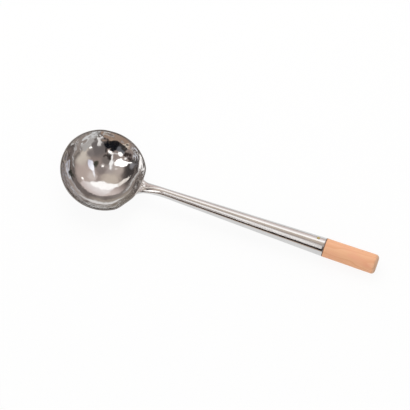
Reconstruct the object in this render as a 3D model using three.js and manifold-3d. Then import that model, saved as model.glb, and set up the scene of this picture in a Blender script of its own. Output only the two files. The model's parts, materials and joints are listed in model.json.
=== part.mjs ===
// Wok ladle: a round pressed bowl on a long tapering socket handle, with a wooden grip let into the
// socket's mouth. Millimetres, +Z up, lying at rest as on a table, with the handle along +X.

import * as THREE from 'three';
import { mergeVertices } from 'three/addons/utils/BufferGeometryUtils.js';
import Module from 'manifold-3d';

// Bowl: a cap of a sphere pressed from sheet, with a rounded lip
const BOWL_DIAMETER = 120;
const BOWL_DEPTH = 38.5;
const BOWL_WALL = 1.6;
const LIP_ROUNDING = 0.5;

// Shank: a socket rolled from sheet; its straight axis rises from the lip's plane and crosses the
// bowl's own axis a little below the lip; lengths run along it from the bowl's edge
const SHANK_RISE = 7;
const SHANK_BELOW_LIP = 7;
const SHANK_LENGTH = 263;
const SHANK_WALL = 1.2;
const MOUTH_DIAMETER = 26.2;
const NECK_DIAMETER = 13.4;
const NECK_LENGTH = 32;
const SEAM_WIDTH = 0.7;
const SEAM_DEPTH = 0.4;

// Foot: the neck's end, flattened and spread to lie against the bowl just under the lip
const FOOT_WIDTH = 17.4;
const FOOT_THICKNESS = 7.6;
const FOOT_BELOW_LIP = 1.7;

// Weld: a hollow fillet round the foot, thin under the lip and fullest below
const WELD_LENGTH = 7;
const WELD_BELOW = 4.4;
const WELD_TOP = 1;
const WELD_EDGE = 0.3;

// Grip: turned wood, flush with the socket at its shoulder and slightly thicker at the end
const GRIP_LENGTH = 76;
const GRIP_DIAMETER = 27.4;
const GRIP_ROUNDING = 5;
const TENON_LENGTH = 56;
const TENON_CHAMFER = 1.5;

// Nail: driven square to the socket's axis, turned from the top towards +Y
const NAIL_DIAMETER = 2;
const NAIL_LENGTH = 13;
const NAIL_POINT = 2.5;
const NAIL_HEAD_DIAMETER = 4.4;
const NAIL_HEAD_HEIGHT = 0.9;
const NAIL_FROM_MOUTH = 11;
const NAIL_TURN = 24;

// Clearance wherever two pieces meet, and how far a cut runs past what it cuts
const JOINT_GAP = 0.3;
const OVERCUT = 1;

// Facets. The bowl's sides leave 2 over when shared by 4, so that it rests on a flat and not on a corner
const BOWL_SIDES = 66;
const BOWL_ARC_STEPS = 12;
const SHANK_SIDES = 32;
const NECK_STEPS = 12;
const CONE_STEPS = 5;
const WELD_STEPS = 7;
const ROUNDING_STEPS = 4;
const NAIL_SIDES = 16;
const MERGE_DISTANCE = 1e-4;

const { degToRad, lerp, clamp } = THREE.MathUtils;
const wasm = await Module();
wasm.setup();

// Values that follow from the driving dimensions

const bowlRadius = BOWL_DIAMETER / 2;
const capDepth = BOWL_DEPTH - LIP_ROUNDING;
const sphereRadius = (bowlRadius ** 2 + capDepth ** 2) / (2 * capDepth);
const sphereHeight = sphereRadius - BOWL_DEPTH;
const rise = degToRad(SHANK_RISE);
const waist = bowlRadius + NECK_LENGTH;
const mouth = bowlRadius + SHANK_LENGTH;
const gripEnd = mouth + GRIP_LENGTH;
const coneSlope = (MOUTH_DIAMETER - NECK_DIAMETER) / 2 / (mouth - waist);

// The foot's centre lies this far off the straight axis, so that its upper face stays under the lip
const footTop = (SHANK_BELOW_LIP - FOOT_BELOW_LIP - bowlRadius * Math.sin(rise)) / Math.cos(rise);
const footOffset = footTop - FOOT_THICKNESS / 2;

// The centre of the bowl's sphere, seen from the shank's own axes
const sphereCentre = new THREE.Vector3(Math.sin(rise), 0, Math.cos(rise))
  .multiplyScalar(sphereHeight + SHANK_BELOW_LIP);

// Solids and the meshes made from them

function solidOf(geometry) {
  geometry.deleteAttribute('normal');
  geometry.deleteAttribute('uv');
  const merged = mergeVertices(geometry, MERGE_DISTANCE);
  const index = merged.index.array;
  const kept = [];
  for (let i = 0; i < index.length; i += 3) {
    const [a, b, c] = index.slice(i, i + 3);
    if (a !== b && b !== c && c !== a) kept.push(a, b, c);
  }
  const vertProperties = new Float32Array(merged.attributes.position.array);
  return new wasm.Manifold(new wasm.Mesh({ numProp: 3, vertProperties, triVerts: new Uint32Array(kept) }));
}

function meshOf(name, solid, look) {
  const { vertProperties, triVerts } = solid.getMesh();
  const geometry = new THREE.BufferGeometry();
  geometry.setAttribute('position', new THREE.BufferAttribute(vertProperties, 3));
  geometry.setIndex(new THREE.BufferAttribute(triVerts, 1));
  geometry.computeVertexNormals();
  const mesh = new THREE.Mesh(geometry, new THREE.MeshStandardMaterial(look));
  mesh.name = name;
  return mesh;
}

// A profile of (radius, height) points turned about Z
function turned(points, sides) {
  return solidOf(new THREE.LatheGeometry(points, sides).rotateX(Math.PI / 2));
}

// Points on an arc in a profile, from one angle to another, both in radians from the radius axis
function arc(centreRadius, centreHeight, radius, from, to, steps) {
  return Array.from({ length: steps + 1 }, (_, i) => {
    const angle = lerp(from, to, i / steps);
    return new THREE.Vector2(
      Math.max(0, centreRadius + radius * Math.cos(angle)),
      centreHeight + radius * Math.sin(angle),
    );
  });
}

// Skin over rings of points that turn from +Y to +Z and follow one another along +X, closed at both ends
function loft(rings) {
  const count = rings[0].length;
  const points = rings.flat();
  const centreOf = (ring) => ring.reduce((sum, p) => sum.add(p), new THREE.Vector3()).divideScalar(count);
  const lastRing = points.length - count;
  const firstCentre = points.push(centreOf(rings[0])) - 1;
  const lastCentre = points.push(centreOf(rings.at(-1))) - 1;
  const index = [];
  for (let side = 0; side < count; side += 1) {
    const next = (side + 1) % count;
    for (let row = 0; row < lastRing; row += count) {
      index.push(row + side, row + next, row + next + count);
      index.push(row + side, row + next + count, row + side + count);
    }
    index.push(firstCentre, next, side);
    index.push(lastCentre, lastRing + side, lastRing + next);
  }
  return solidOf(new THREE.BufferGeometry().setFromPoints(points).setIndex(index));
}

// Stations from one place to another, evenly spaced
function stations(from, to, steps) {
  return Array.from({ length: steps + 1 }, (_, i) => lerp(from, to, i / steps));
}

// Bowl

function bowl() {
  const innerRadius = sphereRadius - BOWL_WALL;
  const outerEdge = Math.asin(-(sphereHeight + LIP_ROUNDING) / sphereRadius);
  const innerEdge = Math.asin(-(sphereHeight + LIP_ROUNDING) / innerRadius);
  const outerWall = arc(0, sphereHeight, sphereRadius, -Math.PI / 2, outerEdge, BOWL_ARC_STEPS);
  const innerWall = arc(0, sphereHeight, innerRadius, innerEdge, -Math.PI / 2, BOWL_ARC_STEPS);
  const outerLip = outerWall.at(-1).x - LIP_ROUNDING;
  const innerLip = innerWall[0].x + LIP_ROUNDING;
  const lip = [
    ...arc(outerLip, -LIP_ROUNDING, LIP_ROUNDING, 0, Math.PI / 2, ROUNDING_STEPS).slice(1),
    ...arc(innerLip, -LIP_ROUNDING, LIP_ROUNDING, Math.PI / 2, Math.PI, ROUNDING_STEPS).slice(0, -1),
  ];
  return turned([...outerWall, ...lip, ...innerWall], BOWL_SIDES);
}

// The ball that the foot and its weld are cut back to, clear of the bowl's wall
function wallBall() {
  const ball = new THREE.SphereGeometry(sphereRadius + JOINT_GAP, 2 * BOWL_SIDES, BOWL_SIDES);
  return solidOf(ball.translate(sphereCentre.x, sphereCentre.y, sphereCentre.z));
}

// Shank

function coneRadius(x) {
  return NECK_DIAMETER / 2 + coneSlope * Math.max(0, x - waist);
}

// A point on the shank's skin at x along its axis, with the skin moved outwards by grow
function skinPoint(x, turn, grow) {
  const flattened = clamp((waist - x) / (waist - bowlRadius), 0, 1) ** 2;
  const halfWidth = lerp(coneRadius(x), FOOT_WIDTH / 2, flattened) + grow;
  const halfHeight = lerp(coneRadius(x), FOOT_THICKNESS / 2, flattened) + grow;
  return new THREE.Vector3(
    x,
    halfWidth * Math.cos(turn),
    flattened * footOffset + halfHeight * Math.sin(turn),
  );
}

const shankTurns = stations(0, 2 * Math.PI, SHANK_SIDES).slice(0, -1);

function skin(from, to, grow) {
  const neck = stations(bowlRadius, waist, NECK_STEPS);
  const cone = stations(waist, to, CONE_STEPS).slice(1);
  return loft([from, ...neck, ...cone].map((x) => shankTurns.map((turn) => skinPoint(x, turn, grow))));
}

// The foot starts well inside the bowl's sphere, which then cuts it off
const footRoot = bowlRadius - FOOT_WIDTH;

// The line along the underside where the rolled sheet's two edges meet
function seam() {
  const end = mouth + OVERCUT;
  const middle = (waist + end) / 2;
  const groove = new THREE.BoxGeometry(end - waist, SEAM_WIDTH, 2 * SEAM_DEPTH);
  groove.rotateY(Math.atan(coneSlope));
  return solidOf(groove.translate(middle, 0, -coneRadius(middle)));
}

function shank() {
  const bore = skin(footRoot - OVERCUT, mouth + OVERCUT, -SHANK_WALL);
  return skin(footRoot, mouth, 0)
    .subtract(bore)
    .subtract(wallBall())
    .subtract(seam())
    .subtract(nailHole());
}

// Weld

// Where the shank's skin meets the bowl's sphere, at one turn round the foot
function wallStation(turn) {
  const { y, z } = skinPoint(bowlRadius, turn, 0);
  return sphereCentre.x + Math.sqrt(sphereRadius ** 2 - y ** 2 - (z - sphereCentre.z) ** 2);
}

function weld() {
  const rootDepth = 2 * WELD_BELOW;
  const ringAt = (along) => shankTurns.map((turn) => {
    const hollow = (1 - clamp(along / WELD_LENGTH, 0, 1)) ** 2;
    const height = lerp(WELD_BELOW, WELD_TOP, (1 + Math.sin(turn)) / 2) * hollow;
    return skinPoint(wallStation(turn) + along, turn, JOINT_GAP + WELD_EDGE + height);
  });
  return loft([-rootDepth, ...stations(0, WELD_LENGTH, WELD_STEPS)].map(ringAt))
    .subtract(skin(footRoot - OVERCUT, mouth, JOINT_GAP))
    .subtract(wallBall());
}

// Nail, and the hole it fills

const nailStation = mouth - NAIL_FROM_MOUTH;

// Turns a solid that stands along Z into the nail's direction, at the nail's place on the socket
function atNail(solid) {
  return solid.rotate([-NAIL_TURN, 0, 0]).translate([nailStation, 0, 0]);
}

function nailHole() {
  const radius = NAIL_DIAMETER / 2 + JOINT_GAP;
  const outside = MOUTH_DIAMETER / 2 + JOINT_GAP;
  const inside = coneRadius(nailStation) - NAIL_LENGTH - JOINT_GAP;
  const hole = new THREE.CylinderGeometry(radius, radius, outside - inside, NAIL_SIDES);
  return atNail(solidOf(hole.rotateX(Math.PI / 2).translate(0, 0, (outside + inside) / 2)));
}

function nail() {
  const seat = coneRadius(nailStation) + JOINT_GAP;
  const tip = coneRadius(nailStation) - NAIL_LENGTH;
  const domeRadius = ((NAIL_HEAD_DIAMETER / 2) ** 2 + NAIL_HEAD_HEIGHT ** 2) / (2 * NAIL_HEAD_HEIGHT);
  const domeCentre = seat + NAIL_HEAD_HEIGHT - domeRadius;
  const domeEdge = Math.acos(NAIL_HEAD_DIAMETER / 2 / domeRadius);
  const profile = [
    new THREE.Vector2(0, tip),
    new THREE.Vector2(NAIL_DIAMETER / 2, tip + NAIL_POINT),
    new THREE.Vector2(NAIL_DIAMETER / 2, seat),
    ...arc(0, domeCentre, domeRadius, domeEdge, Math.PI / 2, ROUNDING_STEPS),
  ];
  return atNail(turned(profile, NAIL_SIDES));
}

// Grip

function grip() {
  const tenonRadius = (x) => coneRadius(x) - SHANK_WALL - JOINT_GAP;
  const tenonStart = mouth - TENON_LENGTH;
  const shoulder = mouth + JOINT_GAP;
  const endFace = GRIP_DIAMETER / 2 - GRIP_ROUNDING;
  const profile = [
    new THREE.Vector2(0, tenonStart),
    new THREE.Vector2(tenonRadius(tenonStart) - TENON_CHAMFER, tenonStart),
    new THREE.Vector2(tenonRadius(tenonStart + TENON_CHAMFER), tenonStart + TENON_CHAMFER),
    new THREE.Vector2(tenonRadius(mouth), shoulder),
    new THREE.Vector2(MOUTH_DIAMETER / 2, shoulder),
    ...arc(endFace, gripEnd - GRIP_ROUNDING, GRIP_ROUNDING, 0, Math.PI / 2, ROUNDING_STEPS),
    new THREE.Vector2(0, gripEnd),
  ];
  const lathe = new THREE.LatheGeometry(profile, SHANK_SIDES).rotateZ(-Math.PI / 2);
  return solidOf(lathe).subtract(nailHole());
}

// The ladle in its own axes: bowl upright, lip in the plane z = 0

const POLISHED_STEEL = { color: 0xc9c4bf, roughness: 0.12, metalness: 1 };
const PALE_WOOD = { color: 0xedb691, roughness: 0.6, metalness: 0 };
const BRASS = { color: 0xc2ab62, roughness: 0.3, metalness: 1 };

const handle = new THREE.Group();
handle.position.z = -SHANK_BELOW_LIP;
handle.rotation.y = -rise;
handle.add(
  meshOf('shank', shank(), POLISHED_STEEL),
  meshOf('neck_weld', weld(), POLISHED_STEEL),
  meshOf('wooden_grip', grip(), PALE_WOOD),
  meshOf('grip_nail', nail(), BRASS),
);

const ladle = new THREE.Group();
ladle.add(meshOf('bowl', bowl(), POLISHED_STEEL), handle);

// At rest the ladle tips until the bowl's sphere and the rounding under the grip's end touch one plane

const gripCorner = new THREE.Vector3(gripEnd - GRIP_ROUNDING, 0, GRIP_ROUNDING - GRIP_DIAMETER / 2);
handle.updateMatrix();
gripCorner.applyMatrix4(handle.matrix);
const fall = gripCorner.z - sphereHeight;
const tangent = Math.asin((sphereRadius - GRIP_ROUNDING) / Math.hypot(gripCorner.x, fall));
ladle.rotation.y = Math.atan2(fall, gripCorner.x) + tangent;

// The origin is the middle of the ladle's box, on the surface it lies on

const wokLadle = new THREE.Group();
wokLadle.add(ladle);
wokLadle.updateMatrixWorld(true);
const box = new THREE.Box3().setFromObject(ladle, true);
ladle.position.set(-(box.min.x + box.max.x) / 2, -(box.min.y + box.max.y) / 2, -box.min.z);

export default wokLadle;
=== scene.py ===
import json
import math

import bmesh
import bpy
from mathutils import Matrix, Vector, noise


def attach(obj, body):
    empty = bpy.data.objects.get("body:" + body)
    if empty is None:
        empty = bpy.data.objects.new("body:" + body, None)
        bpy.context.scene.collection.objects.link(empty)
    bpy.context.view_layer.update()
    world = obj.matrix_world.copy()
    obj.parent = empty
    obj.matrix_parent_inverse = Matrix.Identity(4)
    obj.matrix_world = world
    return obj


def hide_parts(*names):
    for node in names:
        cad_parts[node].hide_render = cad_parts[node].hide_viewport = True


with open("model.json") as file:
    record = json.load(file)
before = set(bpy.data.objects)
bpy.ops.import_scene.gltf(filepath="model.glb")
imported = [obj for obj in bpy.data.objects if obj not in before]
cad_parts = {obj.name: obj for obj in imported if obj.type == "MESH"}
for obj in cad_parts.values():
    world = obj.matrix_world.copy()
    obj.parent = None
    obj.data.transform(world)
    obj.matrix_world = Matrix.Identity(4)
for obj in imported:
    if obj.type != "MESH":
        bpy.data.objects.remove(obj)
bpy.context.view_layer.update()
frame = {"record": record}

# Bowl: a cap of a sphere pressed from 1.6 mm stainless sheet, hammered faintly wavy and polished to a mirror.
# Its lip is ground to a full round, is flared a little on the far side, and is drawn in by the heat where the
# handle is welded on. At rest the ladle lies on the bowl and on the end of the grip.

BOWL_RADIUS = 0.060
BOWL_DEPTH = 0.0385
BOWL_WALL = 0.0016
LIP_ROUNDING = 0.0005
SHANK_RISE = math.radians(7)
SHANK_BELOW_LIP = 0.007
HANDLE_REACH = 0.399
BOWL_TURN_STEPS = 330
BOWL_WALL_STEPS = 100
BOWL_LIP_STEPS = 10
BOWL_MERGE = 0.000002
HAMMER_SEED = 27.0
HAMMER_DETAIL = 1.0
HAMMER_WAVE_HEIGHT = 0.00014
HAMMER_WAVES_PER_RADIUS = 12.0
HAMMER_INWARD = 0.78
LIP_WAVE_HEIGHT = 0.0018
LIP_WAVES_PER_RADIUS = 5.0
LIP_WAVE_MIDDLE = 0.5
# heights from the lip, at which the lip's waves begin and are full, and all waves are full and end
LIP_WAVES_FROM = -0.020
LIP_WAVES_FULL = -0.010
WAVES_FULL = -0.004
WAVES_END = -0.001
# cosines of the turn from the handle, between which the lip's waves begin
FOOT_CALM_INNER = 0.96
FOOT_CALM_OUTER = 0.87
LIP_DRAW_IN = 0.0032
DRAW_IN_MIDDLE = math.radians(-14)
DRAW_IN_REACH = math.radians(42)
DRAW_IN_SOFT = math.radians(22)
DRAW_IN_DROP = 0.026
LIP_FLARES = (
    # middle, reach and soft edge in degrees, spread at the lip, and sink below it
    (136, 40, 20, 0.0018, 0.0008),
    (76, 28, 16, 0.0016, 0.0015),
)
FLARE_DROP = 0.016
FLARE_CALM = 0.5
SINK_DROP = 0.036

cap_depth = BOWL_DEPTH - LIP_ROUNDING
sphere_radius = (BOWL_RADIUS**2 + cap_depth**2) / (2 * cap_depth)
sphere_height = sphere_radius - BOWL_DEPTH
lip_angle = math.asin((-BOWL_WALL / 2 - sphere_height) / (sphere_radius - BOWL_WALL / 2))

grip_end_mount = frame["record"]["mounts"][0]
handle_line = Vector(grip_end_mount["axis"]).normalized()
bowl_tilt = math.asin(-handle_line.z) + SHANK_RISE
bowl_axis = Vector((math.sin(bowl_tilt), 0, math.cos(bowl_tilt)))
handle_start = Vector(grip_end_mount["pos_m"]) - HANDLE_REACH * handle_line
lip_centre = handle_start + SHANK_BELOW_LIP * bowl_axis
ladle_place = Matrix.Translation(lip_centre) @ Matrix.Rotation(bowl_tilt, 4, "Y")


def put(tree, kind, inputs=None, **settings):
    """Adds a node to a tree: an input that is a socket is linked, any other is set."""
    made = tree.nodes.new(kind)
    for key, value in settings.items():
        setattr(made, key, value)
    for key, value in (inputs or {}).items():
        if isinstance(value, bpy.types.NodeSocket):
            tree.links.new(value, made.inputs[key])
        else:
            made.inputs[key].default_value = value
    return made


def reckon(tree, operation, first, second=0.0, third=0.0):
    """One step of arithmetic in a node tree, as its result's socket."""
    values = {0: first, 1: second, 2: third}
    return put(tree, "ShaderNodeMath", values, operation=operation).outputs[0]


def reckon_line(tree, operation, first, second=(0, 0, 0)):
    """One step of arithmetic on vectors in a node tree, as its result's socket."""
    made = put(tree, "ShaderNodeVectorMath", {0: first, 1: second}, operation=operation)
    return made.outputs["Value" if operation == "DOT_PRODUCT" else "Vector"]


def ranged(tree, value, start, end, low=0.0, high=1.0, run="LINEAR"):
    """A value that goes from low to high as the given one goes from start to end, as a socket."""
    return put(tree, "ShaderNodeMapRange", {
        "Value": value, "From Min": start, "From Max": end, "To Min": low, "To Max": high},
        interpolation_type=run).outputs[0]


def eased(tree, value, start, end, low=0.0, high=1.0):
    """The same as ranged, with soft ends."""
    return ranged(tree, value, start, end, low, high, "SMOOTHSTEP")


def split(tree, point):
    """The X, Y and Z sockets of a vector."""
    return put(tree, "ShaderNodeSeparateXYZ", {0: point}).outputs


def swept_arc(tree, sizes, centre_radius, centre_height, radius, start, end, steps):
    """A sheet swept round the bowl's axis from an arc of the wall's outline."""
    turn_count = reckon(tree, "ADD", sizes["Turn Steps"], 1.0)
    step_count = reckon(tree, "ADD", sizes[steps], 1.0)
    grid = put(tree, "GeometryNodeMeshGrid", {
        "Size X": 1.0, "Size Y": 1.0, "Vertices X": turn_count, "Vertices Y": step_count})
    across = split(tree, put(tree, "GeometryNodeInputPosition").outputs[0])
    turn = reckon(tree, "MULTIPLY_ADD", across[0], math.tau, math.pi)
    share = reckon(tree, "ADD", across[1], 0.5)
    sweep = reckon(tree, "SUBTRACT", end, start)
    angle = reckon(tree, "MULTIPLY_ADD", share, sweep, start)
    reach = reckon(tree, "MULTIPLY_ADD", reckon(tree, "COSINE", angle), radius, centre_radius)
    height = reckon(tree, "MULTIPLY_ADD", reckon(tree, "SINE", angle), radius, centre_height)
    point = put(tree, "ShaderNodeCombineXYZ", {
        0: reckon(tree, "MULTIPLY", reckon(tree, "COSINE", turn), reach),
        1: reckon(tree, "MULTIPLY", reckon(tree, "SINE", turn), reach),
        2: height})
    return put(tree, "GeometryNodeSetPosition", {
        "Geometry": grid.outputs["Mesh"], "Position": point.outputs[0]}).outputs[0]


def hammer_marks(tree, sizes, outward, waves):
    """Noise from 0 to 1 over the bowl, in so many waves to a radius, as a socket."""
    return put(tree, "ShaderNodeTexNoise", {
        "Vector": outward, "W": sizes["Seed"], "Scale": sizes[waves], "Detail": HAMMER_DETAIL},
        noise_dimensions="4D").outputs["Fac"]


def lip_freedom(tree, place):
    """How far the lip's waves rise round the bowl: none by the handle, less in the flares, else 1."""
    facing = reckon_line(tree, "NORMALIZE", reckon_line(tree, "MULTIPLY", place, (1, 1, 0)))
    freedom = eased(tree, split(tree, facing)[0], FOOT_CALM_INNER, FOOT_CALM_OUTER)
    for middle, reach, soft, _, _ in LIP_FLARES:
        flare_line = (math.cos(math.radians(middle)), math.sin(math.radians(middle)), 0)
        to_flare = reckon_line(tree, "DOT_PRODUCT", facing, flare_line)
        inner = math.cos(math.radians(reach - soft))
        outer = math.cos(math.radians(reach))
        off_flare = eased(tree, to_flare, inner, outer, FLARE_CALM, 1.0)
        freedom = reckon(tree, "MULTIPLY", freedom, off_flare)
    return freedom


def hammer_offset(tree, sizes):
    """How far, and which way, the hammer has moved each point of the wall."""
    place = put(tree, "GeometryNodeInputPosition").outputs[0]
    centre = put(tree, "ShaderNodeCombineXYZ", {2: sizes["Sphere Height"]}).outputs[0]
    outward = reckon_line(tree, "NORMALIZE", reckon_line(tree, "SUBTRACT", place, centre))
    drop = split(tree, place)[2]
    band = eased(tree, drop, LIP_WAVES_FROM, LIP_WAVES_FULL, 0.0, sizes["Lip Wave Height"])
    swell = reckon(tree, "SUBTRACT", hammer_marks(tree, sizes, outward, "Lip Waves"), LIP_WAVE_MIDDLE)
    lip_depth = reckon(tree, "MULTIPLY", swell, reckon(tree, "MULTIPLY", band, lip_freedom(tree, place)))
    ripple = reckon(tree, "SUBTRACT", hammer_marks(tree, sizes, outward, "Waves"), HAMMER_INWARD)
    depth = reckon(tree, "MULTIPLY_ADD", ripple, sizes["Wave Height"], lip_depth)
    faded = reckon(tree, "MULTIPLY", depth, eased(tree, drop, WAVES_END, WAVES_FULL))
    return put(tree, "ShaderNodeVectorMath", {0: outward, "Scale": faded}, operation="SCALE").outputs[0]


def pressed_bowl_tree():
    """The bowl from its sphere, wall and lip, with the hammer's waves pressed through the wall."""
    tree = bpy.data.node_groups.new("pressed_bowl", "GeometryNodeTree")
    for label, kind in (
        ("Sphere Radius", "Float"), ("Sphere Height", "Float"), ("Wall", "Float"),
        ("Lip Angle", "Float"), ("Turn Steps", "Int"), ("Wall Steps", "Int"), ("Lip Steps", "Int"),
        ("Wave Height", "Float"), ("Waves", "Float"), ("Lip Wave Height", "Float"), ("Lip Waves", "Float"),
        ("Seed", "Float"), ("Finish", "Material"),
    ):
        tree.interface.new_socket(name=label, in_out="INPUT", socket_type="NodeSocket" + kind)
    tree.interface.new_socket(name="Bowl", in_out="OUTPUT", socket_type="NodeSocketGeometry")
    sizes = put(tree, "NodeGroupInput").outputs
    outer = sizes["Sphere Radius"]
    height = sizes["Sphere Height"]
    lip = sizes["Lip Angle"]
    inner = reckon(tree, "SUBTRACT", outer, sizes["Wall"])
    lip_radius = reckon(tree, "MULTIPLY", sizes["Wall"], 0.5)
    middle = reckon(tree, "SUBTRACT", outer, lip_radius)
    lip_reach = reckon(tree, "MULTIPLY", middle, reckon(tree, "COSINE", lip))
    lip_height = reckon(tree, "MULTIPLY_ADD", middle, reckon(tree, "SINE", lip), height)
    lip_over = reckon(tree, "ADD", lip, math.pi)
    pole = -math.pi / 2
    sheets = put(tree, "GeometryNodeJoinGeometry")
    for sheet in (
        swept_arc(tree, sizes, 0.0, height, inner, lip, pole, "Wall Steps"),
        swept_arc(tree, sizes, lip_reach, lip_height, lip_radius, lip, lip_over, "Lip Steps"),
        swept_arc(tree, sizes, 0.0, height, outer, pole, lip, "Wall Steps"),
    ):
        tree.links.new(sheet, sheets.inputs[0])
    shell = put(tree, "GeometryNodeMergeByDistance", {
        "Geometry": sheets.outputs[0], "Distance": BOWL_MERGE})
    waved = put(tree, "GeometryNodeSetPosition", {
        "Geometry": shell.outputs[0], "Offset": hammer_offset(tree, sizes)})
    shaded = put(tree, "GeometryNodeSetShadeSmooth", {"Geometry": waved.outputs[0]})
    real = put(tree, "GeometryNodeRealizeInstances", {0: shaded.outputs[0]})
    finished = put(tree, "GeometryNodeSetMaterial", {
        "Geometry": real.outputs[0], "Material": sizes["Finish"]})
    put(tree, "NodeGroupOutput", {0: finished.outputs[0]})
    return tree


STEEL_TINTS = ((0.3, (0.60, 0.598, 0.596)), (0.7, (0.66, 0.658, 0.656)))
STREAK_DETAIL = 3.0
STREAK_GRIT = 0.6
STREAK_SHARE = 0.45
SMEAR_SCALE = 38.0
SMEAR_DETAIL = 4.0
SMEAR_SWIRL = 0.4
SMEAR_SHARE = 0.55
POLISH_EVEN = 0.36
POLISH_WORN = 0.64
POLISH_BUMP = 0.12
POLISH_DEPTH = 0.00002
BOWL_BRIGHT = 0.06
BOWL_DULL = 0.12
BOWL_STREAKS_ROUND = 3.0
BOWL_STREAKS_DOWN = 1500.0
PAINTED_DARK_LIP_TINT = (0.30, 0.29, 0.28)
LIP_ROUGHNESS = 0.38
# heights from the lip between which the grinding and the painted shade fade in, and turns in radians round
# the weld, left bright
LIP_GROUND_AND_SHADE_FROM = -0.0017
LIP_GROUND_AND_SHADE_FULL = -0.0009
LIP_WELD_TURN = -0.09
LIP_WELD_HALF = 0.19
LIP_WELD_FADED = 0.27


def mottle(tree, place, scale, detail, **more):
    """Cloudy noise from 0 to 1, as a socket."""
    given = {"Vector": place, "Scale": scale, "Detail": detail, **more}
    return put(tree, "ShaderNodeTexNoise", given).outputs["Fac"]


def polish_group():
    """What a polishing wheel leaves: fine streaks along its run, and broad smears over them."""
    tree = bpy.data.node_groups.new("polish", "ShaderNodeTree")
    for label, kind in (
        ("Streaks", "Vector"), ("Surface", "Vector"), ("Smear Scale", "Float"),
        ("Bright", "Float"), ("Dull", "Float"),
    ):
        tree.interface.new_socket(name=label, in_out="INPUT", socket_type="NodeSocket" + kind)
    for label in ("Roughness", "Height", "Smear"):
        tree.interface.new_socket(name=label, in_out="OUTPUT", socket_type="NodeSocketFloat")
    given = put(tree, "NodeGroupInput").outputs
    streak = mottle(tree, given["Streaks"], 1.0, STREAK_DETAIL, Roughness=STREAK_GRIT)
    smear = mottle(tree, given["Surface"], given["Smear Scale"], SMEAR_DETAIL, Distortion=SMEAR_SWIRL)
    both = reckon(tree, "MULTIPLY_ADD", streak, STREAK_SHARE, reckon(tree, "MULTIPLY", smear, SMEAR_SHARE))
    rough = ranged(tree, both, POLISH_EVEN, POLISH_WORN, given["Bright"], given["Dull"])
    put(tree, "NodeGroupOutput", {"Roughness": rough, "Height": streak, "Smear": smear})
    return tree


polish = polish_group()


def new_material(name):
    """An empty material with its shader and output joined."""
    made = bpy.data.materials.new(name)
    made.use_nodes = True
    tree = made.node_tree
    tree.nodes.clear()
    shader = put(tree, "ShaderNodeBsdfPrincipled")
    put(tree, "ShaderNodeOutputMaterial", {"Surface": shader.outputs[0]})
    return made, tree, shader


def own_axes(tree, place):
    """Object coordinates turned into a piece's own axes, as a socket."""
    where = put(tree, "ShaderNodeTexCoord")
    return put(tree, "ShaderNodeMapping", {
        "Vector": where.outputs["Object"], "Location": place.translation,
        "Rotation": place.to_euler()}, vector_type="TEXTURE").outputs[0]


def colour_steps(tree, value, *stops):
    """A colour that goes from stop to stop, each a place and a colour, as a socket."""
    ramp = put(tree, "ShaderNodeValToRGB", {"Fac": value})
    steps = ramp.color_ramp.elements
    while len(steps) < len(stops):
        steps.new(0.5)
    for step, (place, _) in zip(steps, stops):
        step.position = place
    for step, (_, colour) in zip(steps, stops):
        step.color = (*colour, 1)
    return ramp.outputs[0]


def mixed_colour(tree, share, first, second):
    """One colour, or its socket, blended into another by a share, as a socket."""
    both = {
        socket: value if isinstance(value, bpy.types.NodeSocket) else (*value, 1)
        for socket, value in ((6, first), (7, second))}
    return put(tree, "ShaderNodeMix", {"Factor": share, **both}, data_type="RGBA").outputs[2]


def mirror_steel(name, place, streaks, bright, dull):
    """Polished stainless steel whose streaks run as the wheel ran over that piece."""
    made, tree, shader = new_material(name)
    axes = own_axes(tree, place)
    marks = put(tree, "ShaderNodeGroup", node_tree=polish)
    tree.links.new(streaks(tree, axes), marks.inputs["Streaks"])
    tree.links.new(axes, marks.inputs["Surface"])
    marks.inputs["Smear Scale"].default_value = SMEAR_SCALE
    marks.inputs["Bright"].default_value = bright
    marks.inputs["Dull"].default_value = dull
    tone = colour_steps(tree, marks.outputs["Smear"], *STEEL_TINTS)
    bump = put(tree, "ShaderNodeBump", {
        "Height": marks.outputs["Height"], "Strength": POLISH_BUMP, "Distance": POLISH_DEPTH})
    shader.inputs["Metallic"].default_value = 1.0
    tree.links.new(tone, shader.inputs["Base Color"])
    tree.links.new(marks.outputs["Roughness"], shader.inputs["Roughness"])
    tree.links.new(bump.outputs[0], shader.inputs["Normal"])
    return made


def streaks_round_bowl(tree, axes):
    """Streaks in rings round the bowl's axis: tight from ring to ring, long round the bowl."""
    part = split(tree, axes)
    turn = reckon(tree, "ARCTAN2", part[1], part[0])
    return put(tree, "ShaderNodeCombineXYZ", {
        0: reckon(tree, "MULTIPLY", reckon(tree, "COSINE", turn), BOWL_STREAKS_ROUND),
        1: reckon(tree, "MULTIPLY", reckon(tree, "SINE", turn), BOWL_STREAKS_ROUND),
        2: reckon(tree, "MULTIPLY", part[2], BOWL_STREAKS_DOWN)}).outputs[0]


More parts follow.
